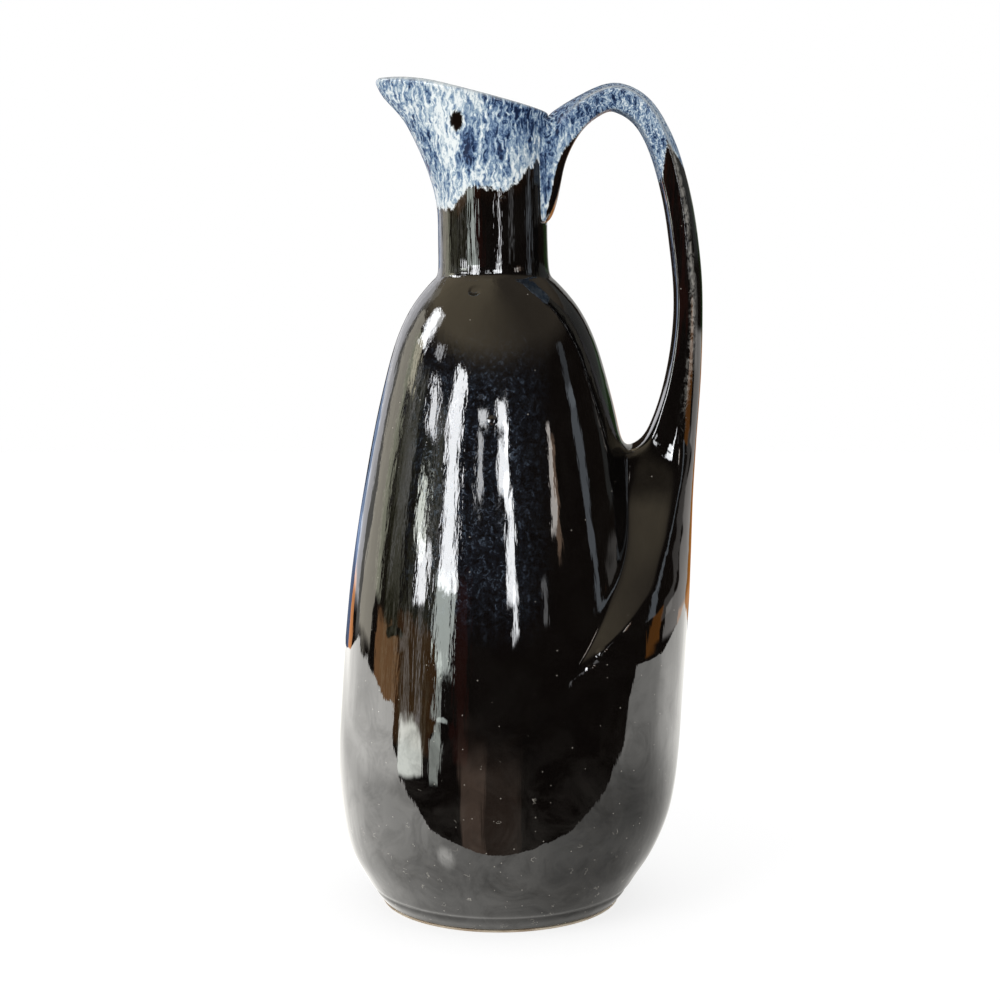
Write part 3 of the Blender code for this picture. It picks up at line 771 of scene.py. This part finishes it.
    # Pale specks and a pale line along the strap's ridges and the lip: thin glaze, and a painted highlight
    speck_and_highlight = node("Math", MULTIPLY_ADD, i0=worn_and_highlight, i1=0.20, i2=mottle)
    speck_and_highlight = node("MapRange", Value=speck_and_highlight, From_Min=0.58, From_Max=0.76)
    speck_and_highlight = node("Math", MULTIPLY, i0=speck_and_highlight, i1=worn_and_highlight)
    iron = node("Mix", COLOURS, i0=speck_and_highlight, i6=iron, i7=colour("#a29f99"))
    pale_glaze_and_highlight = node("Math", {"operation": "POWER"}, i0=worn_and_highlight, i1=3.0)
    pale_glaze_and_highlight = node("Math", MULTIPLY, i0=pale_glaze_and_highlight, i1=0.75)
    blue = node("Mix", COLOURS, i0=pale_glaze_and_highlight, i6=blue, i7=colour("#bcc4c8"))
    base = node("Mix", COLOURS, i0=cover, i6=iron, i7=blue)

    # Dust on the lower body: grains of about 0.4 mm and curls of lint a few millimetres long
    grains = node("TexVoronoi", Vector=place, Scale=0.40)
    grain = node("Math", LESS_THAN, i0=grains, i1=0.09)
    chance = node("SeparateXYZ", Vector=grains.node.outputs["Color"])
    chance = node("Math", LESS_THAN, i0=chance, i1=fades["dust"])
    dust = node("Math", MULTIPLY, i0=grain, i1=chance)
    curls = node("TexNoise", Vector=place, Scale=0.40, Detail=2.0)
    curls = node("Math", {"operation": "COMPARE"}, i0=curls, i1=0.5, i2=0.012)
    tufts = node("TexVoronoi", Vector=place, Scale=0.18)
    tuft = node("Math", LESS_THAN, i0=tufts, i1=0.24)
    lint = node("SeparateXYZ", Vector=tufts.node.outputs["Color"])
    few = node("Math", MULTIPLY_ADD, i0=fades["dust"], i1=3.0, i2=-0.75)
    lint = node("Math", LESS_THAN, i0=lint, i1=few)
    lint = node("Math", MULTIPLY, i0=lint, i1=tuft)
    lint = node("Math", MULTIPLY, i0=lint, i1=curls)
    dust = node("Math", MAXIMUM, i0=dust, i1=lint)
    dust = node("Math", MULTIPLY, i0=dust, i1=0.6)
    base = node("Mix", COLOURS, i0=dust, i6=base, i7=colour("#b5b0a6"))
    satin = node("Mix", i0=worn_and_highlight, i2=satin, i3=0.07)
    veil = node("MapRange", Value=mottle, From_Min=0.46, From_Max=0.66)
    veil = node("Math", MULTIPLY, i0=veil, i1=field)
    satin = node("Math", MULTIPLY_ADD, i0=veil, i1=0.09, i2=satin)

    # Relief: sags of about 11 mm, drawn runs, small marks, the step at the drip glaze's edge and its lace
    sag = node("VectorMath", MULTIPLY, i0=place, i1=(1.0, 1.0, 0.35))
    ripple = node("TexNoise", Vector=sag, Scale=0.09, Detail=2.0, Roughness=0.40)
    wave = node("Bump", Strength=1.0, Distance=0.32 * MM, Height=ripple)
    comb = node("TexNoise", Vector=drips, Scale=0.60, Detail=3.0)
    runs = smooth_band(tree, parts["X"], -38.0, -12.0, 8.0)
    runs = node("Math", MULTIPLY, i0=runs, i1=fades["runs"])
    runs = node("Math", MULTIPLY_ADD, i0=runs, i1=1.6, i2=fades["drawn"])
    comb = node("Math", MULTIPLY, i0=comb, i1=runs)
    brushed = node("Bump", Strength=1.0, Distance=0.03 * MM, Height=comb, Normal=wave)
    marks = 0.0
    for spot, radius, rise in GLAZE_MARKS:
        away = node("VectorMath", DISTANCE, i0=place, i1=spot)
        marked = node("MapRange", SMOOTH, Value=away, From_Min=radius, From_Max=0.3 * radius, To_Max=rise)
        marks = node("Math", ADD, i0=marks, i1=marked)
    marked = node("Bump", Strength=1.0, Distance=MM, Height=marks, Normal=brushed)
    step = node("Bump", Strength=0.6, Distance=0.20 * MM, Height=cover, Normal=marked)
    relief = node("Math", MULTIPLY, i0=feather, i1=cover)
    pitted = node("Bump", Strength=0.35, Distance=0.2 * MM, Height=relief, Normal=step)
    shader = node("BsdfPrincipled", IOR=1.8, Base_Color=base, Roughness=satin, Specular_IOR_Level=sheen,
                  Normal=pitted)
    node("OutputMaterial", Surface=shader)
    return material


def clay_material(looks):
    """Bare fired stoneware: dry, cream to buff, with a sandy grain."""
    material, tree = new_material("bare_stoneware")
    node = partial(add_node, tree)
    place = node("TexCoord").node.outputs["Object"]
    # Grit of about 1 mm, drawn coarser than it is so that it shows, and stains of about 14 mm
    grit = node("TexNoise", Vector=place, Scale=900.0, Detail=4.0)
    stain = node("TexNoise", Vector=place, Scale=70.0, Detail=3.0)
    shades = [(0.35, colour("#b59f85")), (0.65, (*looks.bare_clay, 1.0))]
    base = node("ValToRGB", stops=shades, Fac=stain)
    rough = node("Bump", Strength=0.5, Distance=0.1 * MM, Height=grit)
    shader = node("BsdfPrincipled", Roughness=0.85, Base_Color=base, Normal=rough)
    node("OutputMaterial", Surface=shader)
    return material


class EwerSizes(bpy.types.PropertyGroup):
    """Sizes of the form that a user would change"""

    beak_reach: bpy.props.FloatProperty(
        name="Beak reach", description="How far the beak stands out from the neck",
        default=0.0212, unit="LENGTH")
    beak_pinch: bpy.props.FloatProperty(
        name="Beak pinch", description="Share by which the beak is narrowed",
        default=0.30, subtype="FACTOR")
    strap_width: bpy.props.FloatProperty(
        name="Strap width", description="Width of the handle across its two ridges",
        default=0.0200, unit="LENGTH")


class EwerLooks(bpy.types.PropertyGroup):
    """Colours of the glazes and the clay"""

    dark_glaze: bpy.props.FloatVectorProperty(
        name="Iron glaze", description="Body colour of the dark glaze", subtype="COLOR", size=3,
        default=colour("#070606")[:3])
    bare_clay: bpy.props.FloatVectorProperty(
        name="Bare clay", description="Colour of the unglazed foot", subtype="COLOR", size=3,
        default=colour("#e3d6c0")[:3])


class EwerStudio(bpy.types.PropertyGroup):
    """Levels of the studio"""

    daylight: bpy.props.FloatProperty(
        name="Daylight", description="Even light on matt surfaces", default=0.80)
    room: bpy.props.FloatProperty(
        name="Room", description="Brightness of the room and its windows in the gloss", default=1.0)


class EWER_OT_glazed_ware(bpy.types.Operator):
    """Build the thrown body, neck, spout and handle as one glazed form"""

    bl_idname = "ewer.glazed_ware"
    bl_label = "Glazed Ware"

    def execute(self, context):
        sizes = context.scene.ewer_sizes
        form = bmesh.new()
        form.verts.layers.float.new("glaze_edge")
        form.verts.layers.float.new("thin_glaze")
        layer = form.verts.layers.float["glaze_edge"]
        crotch = grow_lower_body(form, layer)
        body_ring, strap = split_crotch(form, crotch)
        neck = grow_upper_body(form, layer, body_ring)
        rows = grow_spout(form, layer, neck, sizes)
        loop = tail_loop(rows)
        open_tail(form, rows)
        grow_strap(form, layer, strap, loop, sizes)
        smooth_crotch(form)
        for vert in form.verts:
            vert.co.x += table_value(LEAN, vert.co.z / MM) * MM
        bmesh.ops.recalc_face_normals(form, faces=form.faces)
        piece = add_piece("glazed_ware", form, glaze_material(context.scene.ewer_looks), 1)
        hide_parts("body", "neck", "spout", "handle", "handle_root", "neck_slip", "spout_slip",
                    "handle_root_slip", "handle_top_slip")
        return {"FINISHED"}


class EWER_OT_bare_foot(bpy.types.Operator):
    """Build the unglazed underside and edge of the foot"""

    bl_idname = "ewer.bare_foot"
    bl_label = "Bare Foot"

    def execute(self, context):
        form = bmesh.new()
        verts = [form.verts.new((radius * MM, 0.0, height * MM)) for radius, height in BARE_FOOT_OUTLINE]
        edges = [form.edges.new(pair) for pair in zip(verts, verts[1:])]
        bmesh.ops.spin(form, geom=verts + edges, cent=(0, 0, 0), axis=(0, 0, 1), angle=math.tau,
                       steps=FOOT_STEPS, use_merge=True)
        bmesh.ops.remove_doubles(form, verts=form.verts, dist=0.01 * MM)
        under_apron = [vert for vert in form.verts if vert.co.x > 0.0]
        bmesh.ops.scale(form, vec=(FOOT_STRETCH, 1.0, 1.0), verts=under_apron)
        bmesh.ops.recalc_face_normals(form, faces=form.faces)
        piece = add_piece("bare_foot", form, clay_material(context.scene.ewer_looks), 1)
        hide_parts("foot", "foot_slip")
        return {"FINISHED"}


# Panes that the gloss shows: start, end, bottom and top in degrees from the front, strength and colour
PANES = (
    (-104.0, -92.0, 23.0, 40.0, 11.0, "#fafcff"),
    (-108.0, -104.0, 28.0, 38.0, 7.0, "#fafcff"),
    (-92.0, -85.0, 27.0, 42.0, 3.5, "#fafcff"),
    (-104.0, -97.0, 14.0, 23.0, 3.0, "#fff8dc"),
    (-112.0, -104.0, -2.0, 24.0, 1.5, "#f6f8dc"),
    (-128.0, -112.0, -6.0, 28.0, 1.5, "#fff8e6"),
    (-136.0, -128.0, -7.0, 36.0, 0.4, "#f4f4ee"),
    (-152.0, -136.0, -6.0, 30.0, 1.4, "#fafaff"),
    (-168.0, -152.0, 1.0, 30.0, 1.2, "#fafaff"),
    (-162.0, -150.0, -6.0, 0.0, 0.8, "#b4d0fc"),
    (-170.0, -152.0, -10.0, -6.0, 0.45, "#a0bcf0"),
    (-152.0, -143.0, -10.0, -6.5, 1.8, "#f4a468"),
    (-104.0, -80.0, -9.0, -4.0, 1.2, "#f4b47c"),
    (-74.0, -57.0, -12.5, -8.0, 7.0, "#f4f8f0"),
    (-80.0, -49.0, -8.0, -2.0, 0.45, "#c8854a"),
    (-31.0, -21.0, -9.0, 6.0, 0.30, "#8a3020"),
    (-74.0, -66.0, 25.0, 29.0, 3.4, "#fafcff"),
    (-70.0, -61.0, 15.0, 19.5, 9.0, "#fafcff"),
    (-69.0, -62.0, 6.5, 10.0, 8.0, "#f4faf0"),
    (-65.0, -57.0, 1.5, 6.5, 10.0, "#fafcff"),
    (-45.0, -33.5, 5.0, 25.5, 11.0, "#fafcff"),
    (-48.0, -45.0, 17.0, 22.0, 7.0, "#fafcff"),
    (-48.0, -34.0, -2.5, 5.0, 4.6, "#e8f2ec"),
    (-48.0, -42.0, -13.0, -2.5, 3.4, "#e4ece4"),
    (-17.5, -13.5, 13.0, 17.5, 5.0, "#fafcff"),
    (-16.5, -9.0, 20.0, 21.3, 7.0, "#fafcff"),
    (0.5, 11.5, 19.8, 23.0, 11.0, "#fafcff"),
    (0.5, 11.5, 13.5, 17.5, 11.0, "#fafcff"),
    (8.0, 11.8, 17.5, 19.8, 11.0, "#fafcff"),
    (7.5, 11.8, 5.0, 13.5, 11.0, "#fafcff"),
    (11.5, 14.8, 0.5, 5.0, 9.0, "#fafcff"),
    (35.0, 37.5, 1.0, 5.0, 0.9, "#fafcff"),
    (47.5, 51.0, 9.5, 17.0, 4.0, "#fff8f2"),
    (51.0, 54.0, 8.0, 15.0, 1.3, "#e8c4a8"),
    (79.5, 86.0, 0.0, 17.0, 0.8, "#dce8f4"),
    (80.5, 86.0, 17.0, 28.0, 0.4, "#dce8f4"),
    (84.0, 97.0, -12.0, -1.0, 1.2, "#b8742e"),
    (97.0, 112.0, -6.0, 1.0, 0.35, "#e8e4e0"),
    (104.0, 145.0, -12.0, -4.0, 1.2, "#dcd8d4"),
    (128.0, 164.0, -14.0, -11.0, 1.3, "#d9a070"),
    (112.0, 150.0, 4.0, 30.0, 0.12, "#dce8e8"),
    (158.0, 178.0, -4.0, 40.0, 0.5, "#f4f4f0"),
    (146.0, 176.0, -10.0, -4.0, 1.1, "#c07c34"),
    (136.0, 158.0, -4.0, 6.0, 0.25, "#3a7a3c"),
)

# Colours of the garden beyond the left window
GARDEN_COLOURS = ((0.36, "#0c0a06"), (0.48, "#3c4024"), (0.56, "#8f8f7a"), (0.66, "#ffffff"))

# Soft widths of the edges of panes and cupboards in degrees: (sides, top and bottom)
CRISP_EDGE = (0.8, 1.2)
SOFT_EDGE = (4.8, 7.2)

# Dim brown cupboards low in the room, as the panes
SHADES = (
    (-25.0, -12.0, -45.0, -12.0, 1.1, "#b89c8a"),
    (-8.0, 12.0, -45.0, -12.0, 0.35, "#b89c8a"),
)


def build_world(studio):
    """White for the camera, even daylight on matt surfaces, and a dim room with windows in the gloss."""
    world = bpy.data.worlds.new("studio")
    world.use_nodes = True
    tree = world.node_tree
    tree.nodes.clear()
    node = partial(add_node, tree)
    view = node("TexCoord").node.outputs["Generated"]
    parts = node("SeparateXYZ", Vector=view).node.outputs
    back = node("Math", MULTIPLY, i0=parts["Y"], i1=-1.0)
    turn = node("Math", {"operation": "ARCTAN2"}, i0=parts["X"], i1=back)
    turn = node("Math", DEGREES, i0=turn)
    rise = node("Math", {"operation": "ARCSINE"}, i0=parts["Z"])
    rise = node("Math", DEGREES, i0=rise)
    ceiling = node("MapRange", SMOOTH, Value=rise, From_Min=24.0, From_Max=40.0)
    side = node("MapRange", SMOOTH, Value=turn, From_Min=-60.0, From_Max=60.0)
    above = node("Mix", COLOURS, i0=side, i6=colour("#d2c2a4"), i7=colour("#827768"))
    total = node("Mix", COLOURS, i0=ceiling, i6=colour("#2a221c"), i7=above)
    for index, (start, end, low, high, strength, code) in enumerate(PANES + SHADES):
        soft = CRISP_EDGE if index < len(PANES) else SOFT_EDGE
        across = smooth_band(tree, turn, start, end, soft[0])
        upright = smooth_band(tree, rise, low, high, soft[1])
        pane = node("Math", MULTIPLY, i0=across, i1=upright)
        pane = node("Math", MULTIPLY, i0=pane, i1=strength)
        light = node("VectorMath", SCALE, i0=colour(code)[:3], Scale=pane)
        total = node("VectorMath", ADD, i0=total, i1=light)
    streaks = node("CombineXYZ", X=turn, Y=rise)
    streaks = node("VectorMath", MULTIPLY, i0=streaks, i1=(0.16, 0.035, 0.0))
    streaks = node("TexNoise", Vector=streaks, Scale=1.0, Detail=3.0)
    garden = node("ValToRGB", stops=[(stop, colour(code)) for stop, code in GARDEN_COLOURS], Fac=streaks)
    across = smooth_band(tree, turn, -98.0, -51.0, 4.0)
    upright = smooth_band(tree, rise, -7.0, 17.0, 4.0)
    pane = node("Math", MULTIPLY, i0=across, i1=upright)
    pane = node("Math", MULTIPLY, i0=pane, i1=1.3)
    garden = node("VectorMath", SCALE, i0=garden, Scale=pane)
    total = node("VectorMath", ADD, i0=total, i1=garden)
    gloss = node("Background", Color=total, Strength=studio.room)
    plain = node("Background", Color=colour("#ffffff"), Strength=studio.daylight)
    white = node("Background", Color=colour("#ffffff"), Strength=1.0)
    path = node("LightPath").node.outputs
    mixed = node("MixShader", Fac=path["Is Glossy Ray"], i1=plain, i2=gloss)
    mixed = node("MixShader", Fac=path["Is Camera Ray"], i1=mixed, i2=white)
    node("OutputWorld", Surface=mixed)
    bpy.context.scene.world = world


# Brightness of the table in the gloss: axis, kind of fade, start and end in metres, value before and after
TABLE_FADES = {
    "left": ("X", SMOOTH, -0.13, -0.02, 2.3, 1.40),
    "bright": ("X", SMOOTH, -0.34, -0.20, 1.5, 0.0),
    "right": ("X", SMOOTH, 0.10, 0.22, 0.0, 0.95),
    "back": ("Y", SMOOTH, 0.0, 0.14, 0.0, 1.0),
    "behind": ("Y", SMOOTH, 0.04, 0.22, 1.0, 0.72),
}

# Shades on the table in the gloss: middle, start and end of the fade in metres, brightness in the middle
TABLE_SHADES = (
    ((0.15, -0.05, 0.0), 0.0, 0.26, 0.32),
    ((0.045, -0.035, 0.0), 0.012, 0.056, 0.58),
)

# Ends of the table in the gloss: axis, side and place in metres
TABLE_ENDS = (("Y", GREATER_THAN, 0.48), ("X", GREATER_THAN, 0.45), ("X", LESS_THAN, -0.74))


def table_material():
    """Painted table: matt white with a faint shadow; the gloss sees it end close in front of the ewer."""
    material, tree = new_material("painted_table")
    node = partial(add_node, tree)
    place = node("TexCoord").node.outputs["Object"]
    parts = node("SeparateXYZ", Vector=place).node.outputs
    path = node("LightPath").node.outputs
    matt = node("BsdfDiffuse", Color=colour("#f3f2f0"))
    faint = node("BsdfDiffuse", Color=colour("#a0a0a0"))
    white = node("Emission", Color=colour("#ffffff"), Strength=0.75)
    seen = node("AddShader", i0=faint, i1=white)
    top = node("MixShader", Fac=path["Is Camera Ray"], i1=matt, i2=seen)
    fades = axis_fades(tree, parts, TABLE_FADES)
    left = node("Math", ADD, i0=fades["left"], i1=fades["bright"])
    sheen = node("Math", MULTIPLY_ADD, i0=fades["right"], i1=fades["back"], i2=left)
    sheen = node("Math", MULTIPLY, i0=sheen, i1=fades["behind"])
    for middle, start, end, dim in TABLE_SHADES:
        shade = node("VectorMath", DISTANCE, i0=place, i1=middle)
        shade = node("MapRange", SMOOTH, Value=shade, From_Min=start, From_Max=end, To_Min=dim)
        sheen = node("Math", MULTIPLY, i0=sheen, i1=shade)
    glint = node("Mapping", {"vector_type": "TEXTURE"}, Vector=place, Location=(-0.049, -0.089, 0.0),
                 Rotation=(0.0, 0.0, 0.76), Scale=(0.021, 0.010, 1.0))
    glint = node("VectorMath", LENGTH, i0=glint)
    glint = node("MapRange", SMOOTH, Value=glint, From_Min=1.0, From_Max=0.0, To_Max=2.6)
    sheen = node("Math", ADD, i0=sheen, i1=glint)
    mirrored = node("Emission", Color=colour("#fffdf8"), Strength=sheen)
    top = node("MixShader", Fac=path["Is Glossy Ray"], i1=top, i2=mirrored)
    wide = node("Math", {"operation": "ABSOLUTE"}, i0=parts["X"])
    front = node("Math", MULTIPLY_ADD, i0=wide, i1=0.06, i2=parts["Y"])
    past = node("Math", LESS_THAN, i0=front, i1=-0.108)
    for axis, side, limit in TABLE_ENDS:
        end = node("Math", side, i0=parts[axis], i1=limit)
        past = node("Math", MAXIMUM, i0=past, i1=end)
    past = node("Math", MULTIPLY, i0=past, i1=path["Is Glossy Ray"])
    clear = node("BsdfTransparent")
    top = node("MixShader", Fac=past, i1=top, i2=clear)
    node("OutputMaterial", Surface=top)
    return material


class EWER_OT_stage(bpy.types.Operator):
    """Set up the floor, the light and the camera"""

    bl_idname = "ewer.stage"
    bl_label = "Stage"

    def execute(self, context):
        scene = context.scene
        form = bmesh.new()
        bmesh.ops.create_grid(form, x_segments=1, y_segments=1, size=1.5)
        mesh = bpy.data.meshes.new("floor")
        form.to_mesh(mesh)
        form.free()
        mesh.materials.append(table_material())
        floor = bpy.data.objects.new("floor", mesh)
        scene.collection.objects.link(floor)
        build_world(scene.ewer_studio)
        lamp = bpy.data.lights.new("soft_box", "AREA")
        lamp.shape = "RECTANGLE"
        lamp.size = 0.7
        lamp.size_y = 1.0
        lamp.energy = 6.0
        box = bpy.data.objects.new("soft_box", lamp)
        box.location = (-0.9, -0.9, 0.9)
        box.rotation_euler = (Vector((0.0, 0.0, 0.15)) - box.location).to_track_quat("-Z", "Y").to_euler()
        box.visible_glossy = False
        box.visible_camera = False
        scene.collection.objects.link(box)
        lens = bpy.data.cameras.new("camera")
        lens.sensor_width = 36.0
        lens.lens = 72.0
        camera = bpy.data.objects.new("camera", lens)
        camera.location = (0.00048, -0.72729, 0.24759)
        camera.rotation_euler = (math.radians(90.0 - 7.683), 0.0, 0.0)
        scene.collection.objects.link(camera)
        scene.camera = camera
        scene.view_settings.view_transform = "Standard"
        return {"FINISHED"}


class EWER_PT_sidebar(bpy.types.Panel):
    """Lists the steps that build the ewer"""

    bl_idname = "EWER_PT_sidebar"
    bl_label = "Stoneware Ewer"
    bl_space_type = "VIEW_3D"
    bl_region_type = "UI"
    bl_category = "Ewer"

    def draw(self, context):
        scene = context.scene
        for group in (scene.ewer_sizes, scene.ewer_looks, scene.ewer_studio):
            for name in group.__annotations__:
                self.layout.prop(group, name)
        for operator in OPERATORS:
            self.layout.operator(operator.bl_idname)


OPERATORS = (EWER_OT_glazed_ware, EWER_OT_bare_foot, EWER_OT_stage)
CLASSES = (EwerSizes, EwerLooks, EwerStudio, *OPERATORS, EWER_PT_sidebar)


def register():
    """Add the classes and their settings to Blender."""
    for item in CLASSES:
        bpy.utils.register_class(item)
    bpy.types.Scene.ewer_sizes = bpy.props.PointerProperty(type=EwerSizes)
    bpy.types.Scene.ewer_looks = bpy.props.PointerProperty(type=EwerLooks)
    bpy.types.Scene.ewer_studio = bpy.props.PointerProperty(type=EwerStudio)


def unregister():
    """Take the settings and the classes out again."""
    del bpy.types.Scene.ewer_studio
    del bpy.types.Scene.ewer_looks
    del bpy.types.Scene.ewer_sizes
    for item in reversed(CLASSES):
        bpy.utils.unregister_class(item)


def main():
    """Build the looks: the glazed ware, the bare foot and the stage."""
    register()
    bpy.ops.ewer.glazed_ware()
    bpy.ops.ewer.bare_foot()
    bpy.ops.ewer.stage()


if __name__ == "__main__":
    main()
